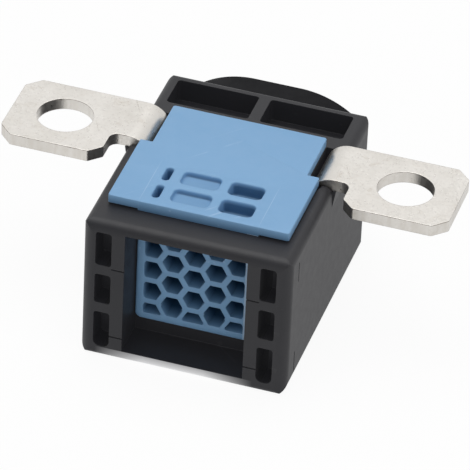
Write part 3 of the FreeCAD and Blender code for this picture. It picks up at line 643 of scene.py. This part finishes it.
def layeredSolid(name, corners, plane, layers):
    # a closed solid through the outline at every level; plane xy rises in z, plane xz runs in y
    shape = bmesh.new()
    rings = []
    for level, inset in layers:
        ring = []
        for u, v in roundedOutline(corners, inset):
            place = (u, v, level) if plane == "xy" else (u, level, v)
            ring.append(shape.verts.new(Vector(place) * mm))
        rings.append(ring)
    for lower, upper in zip(rings, rings[1:]):
        for index in range(len(lower)):
            after = (index + 1) % len(lower)
            shape.faces.new((lower[index], lower[after], upper[after], upper[index]))
    shape.faces.new(rings[0])
    shape.faces.new(rings[-1])
    bmesh.ops.remove_doubles(shape, verts=shape.verts, dist=mergeDistance)
    bmesh.ops.recalc_face_normals(shape, faces=shape.faces)
    mesh = bpy.data.meshes.new(name)
    shape.to_mesh(mesh)
    shape.free()
    return newObject(name, mesh)


def combine(base, others, operation):
    for other in others:
        step = base.modifiers.new(operation, "BOOLEAN")
        step.operation = operation
        step.solver = "EXACT"
        step.object = other
    makePlain(base)
    for other in others:
        bpy.data.objects.remove(other)
    return base


smallestBend = 0.02
mergeDistance = 1e-7
sameLevel = 1e-6


# Small helpers for Geometry Nodes
def makeTree(name, inputs):
    # inputs are (label, kind); the tree takes geometry in and gives geometry out
    tree = bpy.data.node_groups.new(name, "GeometryNodeTree")
    tree.interface.new_socket("Geometry", in_out="INPUT", socket_type="NodeSocketGeometry")
    for label, kind in inputs:
        tree.interface.new_socket(label, in_out="INPUT", socket_type=kind)
    tree.interface.new_socket("Geometry", in_out="OUTPUT", socket_type="NodeSocketGeometry")
    return tree, tree.nodes.new("NodeGroupInput"), tree.nodes.new("NodeGroupOutput")


def runTree(thing, tree, values):
    # every named input gets its value through its own identifier, then the result becomes plain
    step = thing.modifiers.new(tree.name, "NODES")
    step.node_group = tree
    for item in tree.interface.items_tree:
        if item.in_out == "INPUT" and item.name in values:
            step[item.identifier] = values[item.name]
    return makePlain(thing)


def joinVector(tree, x=0.0, y=0.0, z=0.0):
    return feed(tree, addNode(tree, "ShaderNodeCombineXYZ"), X=x, Y=y, Z=z).outputs[0]


def moved(tree, geometry, offset, turn=(0.0, 0.0, 0.0)):
    node = addNode(tree, "GeometryNodeTransform")
    return feed(tree, node, Geometry=geometry, Translation=offset, Rotation=turn).outputs[0]


def joined(tree, parts):
    node = addNode(tree, "GeometryNodeJoinGeometry")
    for part in parts:
        tree.links.new(part, node.inputs[0])
    return node.outputs[0]


def meshBoolean(tree, operation, base, others, crossing=False):
    node = addNode(tree, "GeometryNodeMeshBoolean", operation=operation, solver="EXACT")
    if operation == "DIFFERENCE":
        tree.links.new(base, node.inputs["Mesh 1"])
    else:
        others = [base] + others
    for other in others:
        tree.links.new(other, node.inputs["Mesh 2"])
    node.inputs["Self Intersection"].default_value = crossing
    return node.outputs[0]


# Vent cover: the plate, the block under it and the screen, whose honeycomb is cut by Geometry Nodes
ventSizes = {
    "plateHalf": 18.45, "plateFront": -23.1, "plateNotch": -3.1, "narrowHalf": 15.95, "plateRear": 10.3,
    "plateTop": 34.0, "flange": 1.8, "plateCorner": 0.5, "innerCorner": 0.25, "plateEdge": 0.16,
    "insertHalf": 12.3, "housingTop": 31.8, "blockBottom": 28.6, "blockRear": -3.925,
    "heelFront": -6.3, "heelBottom": 23.25,
    "screenFront": -22.8, "screenRear": -16.8,
    "screenBottom": 5.65, "screenCorner": 1.3, "screenEdge": 0.5,
    "padLap": 0.2, "blockLap": 0.1, "blockStep": 0.2, "heelLap": 0.2, "screenLap": 0.3,
    "rowY": (-18.55, -12.4), "pocketLength": 4.3, "pocketRim": 0.3, "pocketFloor": 0.5,
    "pockets": ((-10.45, -8.95, 4.0, 0.7), (-6.75, 1.0, 1.2, 1.15), (3.0, 9.9, 3.0, 1.15)),
    "cellPitch": 5.1, "cellWidth": 3.9, "combX": -0.3,
    "combZ": 17.88, "combLeft": -10.6, "combRight": 10.0,
    "combFoot": 7.25, "combHead": 28.6, "footDrop": 0.7, "columns": 5, "rows": 5, "cutOver": 1.0,
    "rimBevel": 0.11, "rimSteps": 3, "rimAngle": 40.0, "smoothAngle": 32.0,
}


def pocketSolids():
    size = ventSizes
    top = size["plateTop"]
    solids = []
    for y in size["rowY"]:
        low, high = y - size["pocketLength"] / 2, y + size["pocketLength"] / 2
        for x0, x1, depth, corner in size["pockets"]:
            outline = boxCorners(x0, x1, low, high, corner)
            layers = roundedLayers(top - depth, top, size["pocketFloor"], -size["pocketRim"])
            layers.append((top + size["cutOver"], -size["pocketRim"]))
            solids.append(layeredSolid("pocketCutter", outline, "xy", layers))
    return solids


def ventBlank():
    # the plate, the pad that seats it, the block, its heel and the screen lap into one another
    size = ventSizes
    wide, narrow, notch = size["plateHalf"], size["narrowHalf"], size["plateNotch"]
    outer, inner = size["plateCorner"], size["innerCorner"]
    outline = [
        (-wide, size["plateFront"], outer), (wide, size["plateFront"], outer),
        (wide, notch, inner), (narrow, notch, inner), (narrow, size["plateRear"], outer),
        (-narrow, size["plateRear"], outer), (-narrow, notch, inner), (-wide, notch, inner),
    ]
    half, top = size["insertHalf"], size["plateTop"]
    under = top - size["flange"]
    plate = layeredSolid("ventCover", outline, "xy", roundedLayers(under, top, 0.0, size["plateEdge"]))
    outline = boxCorners(-half, half, size["plateFront"], size["plateRear"], smallestBend)
    pad = layeredSolid("padPart", outline, "xy", [(size["housingTop"], 0.0), (under + size["padLap"], 0.0)])
    front = size["screenRear"] - size["blockStep"]
    outline = boxCorners(-half, half, front, size["blockRear"], smallestBend)
    layers = [(size["blockBottom"], 0.0), (under + size["blockLap"], 0.0)]
    block = layeredSolid("blockPart", outline, "xy", layers)
    outline = boxCorners(-half, half, size["heelFront"], size["blockRear"], smallestBend)
    layers = [(size["heelBottom"], 0.0), (size["blockBottom"] + size["heelLap"], 0.0)]
    heel = layeredSolid("heelPart", outline, "xy", layers)
    upper = under + size["screenLap"]
    outline = boxCorners(-half, half, size["screenBottom"], upper, size["screenCorner"], smallestBend)
    layers = roundedLayers(size["screenFront"], size["screenRear"], size["screenEdge"], 0.0)
    screen = layeredSolid("screenPart", outline, "xz", layers)
    return combine(combine(plate, [pad, block, heel, screen], "UNION"), pocketSolids(), "DIFFERENCE")


def honeycombTree():
    # points on a staggered grid, a six-sided cutter on each, all trimmed to the border and cut away;
    # the lowest points are there twice, once dropped, so that their cells reach down to the border
    tree, start, end = makeTree("honeycomb", [
        ("Pitch", floatSocket), ("Cell Width", floatSocket), ("Depth", floatSocket),
        ("Columns", intSocket), ("Rows", intSocket), ("Center", vectorSocket),
        ("Border Center", vectorSocket), ("Border Size", vectorSocket),
        ("Foot Drop", floatSocket), ("Finish", "NodeSocketMaterial")])
    value = start.outputs
    columnPitch = product(tree, value["Pitch"], math.sqrt(3) / 2)
    width = product(tree, columnPitch, mathNode(tree, "SUBTRACT", value["Columns"], 1.0))
    height = product(tree, value["Pitch"], mathNode(tree, "SUBTRACT", value["Rows"], 1.0))
    grid = addNode(tree, "GeometryNodeMeshGrid")
    feed(tree, grid, Size_X=width, Size_Y=height, Vertices_X=value["Columns"], Vertices_Y=value["Rows"])
    index = addNode(tree, "GeometryNodeInputIndex").outputs[0]
    column = mathNode(tree, "FLOOR", mathNode(tree, "DIVIDE", index, value["Rows"]))
    raised = mathNode(tree, "MODULO", column, 2.0)
    shift = product(tree, raised, product(tree, value["Pitch"], 0.5))
    staggered = addNode(tree, "GeometryNodeSetPosition")
    feed(tree, staggered, Geometry=grid.outputs["Mesh"], Offset=joinVector(tree, y=shift))
    upright = moved(tree, staggered.outputs[0], value["Center"], (math.pi / 2, 0.0, 0.0))
    firstRow = mathNode(tree, "LESS_THAN", mathNode(tree, "MODULO", index, value["Rows"]), 0.5)
    lowest = product(tree, firstRow, raised)
    footRow = feed(tree, addNode(tree, "GeometryNodeSeparateGeometry"), Geometry=upright, Selection=lowest)
    drop = product(tree, value["Foot Drop"], -1.0)
    dropped = moved(tree, footRow.outputs["Selection"], joinVector(tree, z=drop))
    places = joined(tree, [upright, dropped])
    radius = mathNode(tree, "DIVIDE", value["Cell Width"], math.sqrt(3))
    cutter = addNode(tree, "GeometryNodeMeshCylinder")
    feed(tree, cutter, Vertices=6, Radius=radius, Depth=value["Depth"])
    lying = moved(tree, cutter.outputs["Mesh"], (0.0, 0.0, 0.0), (math.pi / 2, 0.0, 0.0))
    copies = feed(tree, addNode(tree, "GeometryNodeInstanceOnPoints"), Points=places, Instance=lying)
    cells = feed(tree, addNode(tree, "GeometryNodeRealizeInstances"), Geometry=copies.outputs[0]).outputs[0]
    border = feed(tree, addNode(tree, "GeometryNodeMeshCube"), Size=value["Border Size"])
    border = moved(tree, border.outputs["Mesh"], value["Border Center"])
    trimmed = meshBoolean(tree, "INTERSECT", cells, [border], crossing=True)
    cut = meshBoolean(tree, "DIFFERENCE", value["Geometry"], [trimmed], crossing=True)
    whole = feed(tree, addNode(tree, "GeometryNodeRealizeInstances"), Geometry=cut).outputs[0]
    finished = addNode(tree, "GeometryNodeSetMaterial")
    feed(tree, finished, Geometry=whole, Material=value["Finish"])
    tree.links.new(finished.outputs[0], end.inputs[0])
    return tree


def roundCellRims(cover):
    # only the sharp edges that lie in the front face of the screen are rounded
    size = ventSizes
    front = size["screenFront"] * mm
    shape = bmesh.new()
    shape.from_mesh(cover.data)
    weight = shape.edges.layers.float.new("bevel_weight_edge")
    for edge in shape.edges:
        onFront = all(abs(corner.co.y - front) < sameLevel for corner in edge.verts)
        if onFront and edge.calc_face_angle(0.0) > math.radians(size["rimAngle"]):
            edge[weight] = 1.0
    shape.to_mesh(cover.data)
    shape.free()
    rim = cover.modifiers.new("rimBevel", "BEVEL")
    rim.limit_method = "WEIGHT"
    rim.width = size["rimBevel"] * mm
    rim.segments = size["rimSteps"]
    makePlain(cover)


def addVentCover():
    size = ventSizes
    cover = ventBlank()
    middleY = (size["screenFront"] + size["screenRear"]) / 2
    cutDepth = size["screenRear"] - size["screenFront"] + 2 * size["cutOver"]
    left, right, foot, head = size["combLeft"], size["combRight"], size["combFoot"], size["combHead"]
    borderSize = (right - left, 2 * cutDepth, head - foot)
    borderCenter = ((left + right) / 2, middleY, (head + foot) / 2)
    runTree(cover, honeycombTree(), {
        "Pitch": size["cellPitch"] * mm, "Cell Width": size["cellWidth"] * mm, "Depth": cutDepth * mm,
        "Columns": size["columns"], "Rows": size["rows"],
        "Center": [value * mm for value in (size["combX"], middleY, size["combZ"])],
        "Border Center": [value * mm for value in borderCenter],
        "Border Size": [value * mm for value in borderSize],
        "Foot Drop": size["footDrop"] * mm, "Finish": bluePolyamide,
    })
    roundCellRims(cover)
    shadeByAngle(cover, size["smoothAngle"])
    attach(cover, "root")
    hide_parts("vent_cover")


# Rear screws: button heads with a hexagon drive and a rolled thread, one tree for the set
screwSizes = {
    "spreadX": 26.0, "spreadZ": 12.6, "axisZ": 17.0, "seatY": 27.0, "tipY": 14.5,
    "headRadius": 2.5, "headSide": 1.2, "headHeight": 2.0, "shoulder": 0.88, "crown": 0.62,
    "driveRadius": 1.35, "driveDepth": 1.3, "coreRadius": 1.2, "threadPitch": 0.8, "threadRadius": 0.26,
    "headSides": 48, "coreSides": 24, "turnSteps": 24, "shankMiddle": -0.49, "bareTurns": 2.0,
    "smoothAngle": 34.0,
}


def screwTree():
    # one screw stands on z with its seat at zero, then copies lie along y on a grid of two by two
    tree, start, end = makeTree("screwSet", [
        ("Spread X", floatSocket), ("Spread Z", floatSocket), ("Center", vectorSocket),
        ("Head Radius", floatSocket), ("Head Side", floatSocket), ("Head Height", floatSocket),
        ("Shoulder", floatSocket), ("Crown", floatSocket), ("Drive Radius", floatSocket),
        ("Drive Depth", floatSocket), ("Core Radius", floatSocket), ("Length", floatSocket),
        ("Thread Pitch", floatSocket), ("Thread Radius", floatSocket), ("Finish", "NodeSocketMaterial")])
    size = screwSizes
    value = start.outputs
    # the head is a straight side and two cones that make its dome
    dome = mathNode(tree, "SUBTRACT", value["Head Height"], value["Head Side"])
    step = product(tree, dome, 0.5)
    shoulder = product(tree, value["Head Radius"], value["Shoulder"])
    crown = product(tree, value["Head Radius"], value["Crown"])
    levels = [
        (value["Head Side"], value["Head Radius"], value["Head Radius"]),
        (step, value["Head Radius"], shoulder),
        (step, shoulder, crown),
    ]
    slices = []
    base = None
    for depth, lower, upper in levels:
        cone = addNode(tree, "GeometryNodeMeshCone")
        feed(tree, cone, Vertices=size["headSides"], Radius_Bottom=lower, Radius_Top=upper, Depth=depth)
        slices.append(moved(tree, cone.outputs["Mesh"], joinVector(tree, z=base or 0.0)))
        base = depth if base is None else mathNode(tree, "ADD", base, depth)
    head = meshBoolean(tree, "UNION", slices[0], slices[1:])
    drive = addNode(tree, "GeometryNodeMeshCylinder")
    feed(tree, drive, Vertices=6, Radius=value["Drive Radius"])
    feed(tree, drive, Depth=product(tree, value["Drive Depth"], 2.0))
    recess = moved(tree, drive.outputs["Mesh"], joinVector(tree, z=value["Head Height"]))
    core = addNode(tree, "GeometryNodeMeshCylinder")
    feed(tree, core, Vertices=size["coreSides"], Radius=value["Core Radius"], Depth=value["Length"])
    # the shank reaches a little into the head
    below = product(tree, value["Length"], size["shankMiddle"])
    shank = moved(tree, core.outputs["Mesh"], joinVector(tree, z=below))
    blank = meshBoolean(tree, "UNION", meshBoolean(tree, "DIFFERENCE", head, [recess]), [shank])
    # a three-sided ridge runs round the shank and leaves a turn bare at each end
    turns = mathNode(tree, "DIVIDE", value["Length"], value["Thread Pitch"])
    turns = mathNode(tree, "SUBTRACT", turns, size["bareTurns"])
    helix = addNode(tree, "GeometryNodeCurveSpiral")
    feed(tree, helix, Resolution=size["turnSteps"], Rotations=turns, Start_Radius=value["Core Radius"])
    feed(tree, helix, End_Radius=value["Core Radius"], Height=product(tree, turns, value["Thread Pitch"]))
    ridge = addNode(tree, "GeometryNodeCurvePrimitiveCircle")
    feed(tree, ridge, Resolution=3, Radius=value["Thread Radius"])
    sweep = addNode(tree, "GeometryNodeCurveToMesh")
    feed(tree, sweep, Curve=helix.outputs[0], Profile_Curve=ridge.outputs[0], Fill_Caps=True)
    tipZ = mathNode(tree, "ADD", product(tree, value["Length"], -1.0), value["Thread Pitch"])
    thread = moved(tree, sweep.outputs[0], joinVector(tree, z=tipZ))
    screw = joined(tree, [blank, thread])
    grid = addNode(tree, "GeometryNodeMeshGrid")
    feed(tree, grid, Size_X=value["Spread X"], Size_Y=value["Spread Z"], Vertices_X=2, Vertices_Y=2)
    places = moved(tree, grid.outputs["Mesh"], value["Center"], (math.pi / 2, 0.0, 0.0))
    lying = moved(tree, screw, (0.0, 0.0, 0.0), (-math.pi / 2, 0.0, 0.0))
    copies = feed(tree, addNode(tree, "GeometryNodeInstanceOnPoints"), Points=places, Instance=lying)
    whole = feed(tree, addNode(tree, "GeometryNodeRealizeInstances"), Geometry=copies.outputs[0]).outputs[0]
    finished = addNode(tree, "GeometryNodeSetMaterial")
    feed(tree, finished, Geometry=whole, Material=value["Finish"])
    tree.links.new(finished.outputs[0], end.inputs[0])
    return tree


def addRearScrews():
    size = screwSizes
    screws = newObject("rearScrews", bpy.data.meshes.new("rearScrews"))
    runTree(screws, screwTree(), {
        "Spread X": size["spreadX"] * mm, "Spread Z": size["spreadZ"] * mm,
        "Center": [value * mm for value in (0.0, size["seatY"], size["axisZ"])],
        "Head Radius": size["headRadius"] * mm, "Head Side": size["headSide"] * mm,
        "Head Height": size["headHeight"] * mm, "Shoulder": size["shoulder"], "Crown": size["crown"],
        "Drive Radius": size["driveRadius"] * mm, "Drive Depth": size["driveDepth"] * mm,
        "Core Radius": size["coreRadius"] * mm, "Length": (size["seatY"] - size["tipY"]) * mm,
        "Thread Pitch": size["threadPitch"] * mm, "Thread Radius": size["threadRadius"] * mm,
        "Finish": zincSteel,
    })
    shadeByAngle(screws, size["smoothAngle"])
    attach(screws, "root")
    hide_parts("rear_screw_1", "rear_screw_2", "rear_screw_3", "rear_screw_4")


addVentCover()
addRearScrews()
print("vent cover and screws built")


# Studio
studio = {
    "floorHalf": 3.0, "floorBounce": (0.50, 0.50, 0.50, 1), "floorSeen": (0.95, 0.95, 0.95, 1),
    "floorWhite": 0.93, "white": (1, 1, 1, 1),
    "shadeAcross": (14.0, 60.0, 6.0),
    "shadeAlong": (-34.0, 70.0, 10.0), "shadeSeen": (0.74, 0.74, 0.74, 1),
    "skyFill": 0.34, "skySeen": 1.0, "skyGloss": 0.95, "aim": (0.0, 0.0, 0.015),
    "dimSide": (0.22, -0.77, 0.60), "dimFrom": 0.45, "dimFull": 0.92, "dimLevel": 0.18,
    "keySize": 1.1, "keyPlace": (-0.10, 0.15, 1.25), "keyPower": 10.0,
    "sideSize": 0.7, "sidePlace": (0.95, -0.35, 0.55), "sidePower": 1.15,
    "frontSize": 0.9, "frontPlace": (0.10, -1.20, 0.40), "frontPower": 2.2,
}


def addFloor():
    half = studio["floorHalf"]
    mesh = bpy.data.meshes.new("studioFloor")
    corners = [(-half, -half, 0), (half, -half, 0), (half, half, 0), (-half, half, 0)]
    mesh.from_pydata(corners, [], [(0, 1, 2, 3)])
    floor = bpy.data.objects.new("studioFloor", mesh)
    bpy.context.scene.collection.objects.link(floor)
    material = bpy.data.materials.new("paleFloor")
    material.use_nodes = True
    tree = material.node_tree
    tree.nodes.clear()
    ray = addNode(tree, "ShaderNodeLightPath")
    seen = mathNode(tree, "MAXIMUM", ray.outputs["Is Camera Ray"], ray.outputs["Is Glossy Ray"])
    seen = mathNode(tree, "MAXIMUM", seen, ray.outputs["Is Transmission Ray"])
    tint = mixColour(tree, seen, studio["floorBounce"], studio["floorSeen"])
    matt = feed(tree, addNode(tree, "ShaderNodeBsdfDiffuse"), Color=tint)
    # painted shadow: reflections show the floor close to the right side darker, as in the object's own
    # shade
    x, y, z = split(tree, addNode(tree, "ShaderNodeTexCoord").outputs["Object"])
    across, along = bandMask(tree, x, *studio["shadeAcross"]), bandMask(tree, y, *studio["shadeAlong"])
    patch = product(tree, across, along, ray.outputs["Is Glossy Ray"])
    glow = mixColour(tree, patch, studio["white"], studio["shadeSeen"])
    white = feed(tree, addNode(tree, "ShaderNodeEmission"), Color=glow, Strength=1.0)
    blend = addNode(tree, "ShaderNodeMixShader")
    output = addNode(tree, "ShaderNodeOutputMaterial")
    tree.links.new(product(tree, seen, studio["floorWhite"]), blend.inputs[0])
    tree.links.new(matt.outputs[0], blend.inputs[1])
    tree.links.new(white.outputs[0], blend.inputs[2])
    tree.links.new(blend.outputs[0], output.inputs["Surface"])
    mesh.materials.append(material)


def addLamp(name, size, place, power):
    data = bpy.data.lights.new(name, "AREA")
    data.shape = "SQUARE"
    data.size = size
    data.energy = power
    lamp = bpy.data.objects.new(name, data)
    lamp.location = place
    aim = Vector(studio["aim"]) - Vector(place)
    lamp.rotation_euler = aim.to_track_quat("-Z", "Y").to_euler()
    bpy.context.scene.collection.objects.link(lamp)


def addSky():
    world = bpy.data.worlds.new("studioSky")
    bpy.context.scene.world = world
    world.use_nodes = True
    tree = world.node_tree
    tree.nodes.clear()
    ray = addNode(tree, "ShaderNodeLightPath")
    # the room is darker on the side of the camera
    toward = addNode(tree, "ShaderNodeVectorMath", operation="DOT_PRODUCT")
    tree.links.new(addNode(tree, "ShaderNodeTexCoord").outputs["Generated"], toward.inputs[0])
    toward.inputs[1].default_value = studio["dimSide"]
    toward = toward.outputs["Value"]
    gloss = remap(
        tree, toward, studio["dimFrom"], studio["dimFull"], studio["skyGloss"], studio["dimLevel"])
    glossy = product(tree, ray.outputs["Is Glossy Ray"], gloss)
    plain = mathNode(tree, "SUBTRACT", 1.0, ray.outputs["Is Glossy Ray"])
    strength = mathNode(tree, "ADD", glossy, product(tree, plain, studio["skyFill"]))
    seen = mathNode(tree, "MAXIMUM", ray.outputs["Is Camera Ray"], ray.outputs["Is Transmission Ray"])
    level = mathNode(tree, "MAXIMUM", strength, product(tree, seen, studio["skySeen"]))
    sky = feed(tree, addNode(tree, "ShaderNodeBackground"), Color=studio["white"], Strength=level)
    output = addNode(tree, "ShaderNodeOutputWorld")
    tree.links.new(sky.outputs[0], output.inputs["Surface"])


addFloor()
addLamp("overheadBox", studio["keySize"], studio["keyPlace"], studio["keyPower"])
addLamp("sideBox", studio["sideSize"], studio["sidePlace"], studio["sidePower"])
addLamp("frontBox", studio["frontSize"], studio["frontPlace"], studio["frontPower"])
addSky()

# Camera of the photo, found by fitting the busbar and the housing's corners
cameraSettings = {
    "place": (0.24617, -0.85177, 0.66132), "lens": 422.9, "sensor": 36.0, "near": 0.05, "far": 20.0,
    "right": (0.95189, 0.30390, 0.03926), "up": (-0.20980, 0.55298, 0.80635),
    "back": (0.22334, -0.77580, 0.59014),
}


def addCamera():
    data = bpy.data.cameras.new("photoCamera")
    data.lens = cameraSettings["lens"]
    data.sensor_width = cameraSettings["sensor"]
    data.clip_start = cameraSettings["near"]
    data.clip_end = cameraSettings["far"]
    camera = bpy.data.objects.new("photoCamera", data)
    turn = Matrix([cameraSettings["right"], cameraSettings["up"], cameraSettings["back"]]).transposed()
    camera.matrix_world = Matrix.Translation(cameraSettings["place"]) @ turn.to_4x4()
    bpy.context.scene.collection.objects.link(camera)
    bpy.context.scene.camera = camera


addCamera()
bpy.context.scene.view_settings.view_transform = "Standard"
print("studio ready")
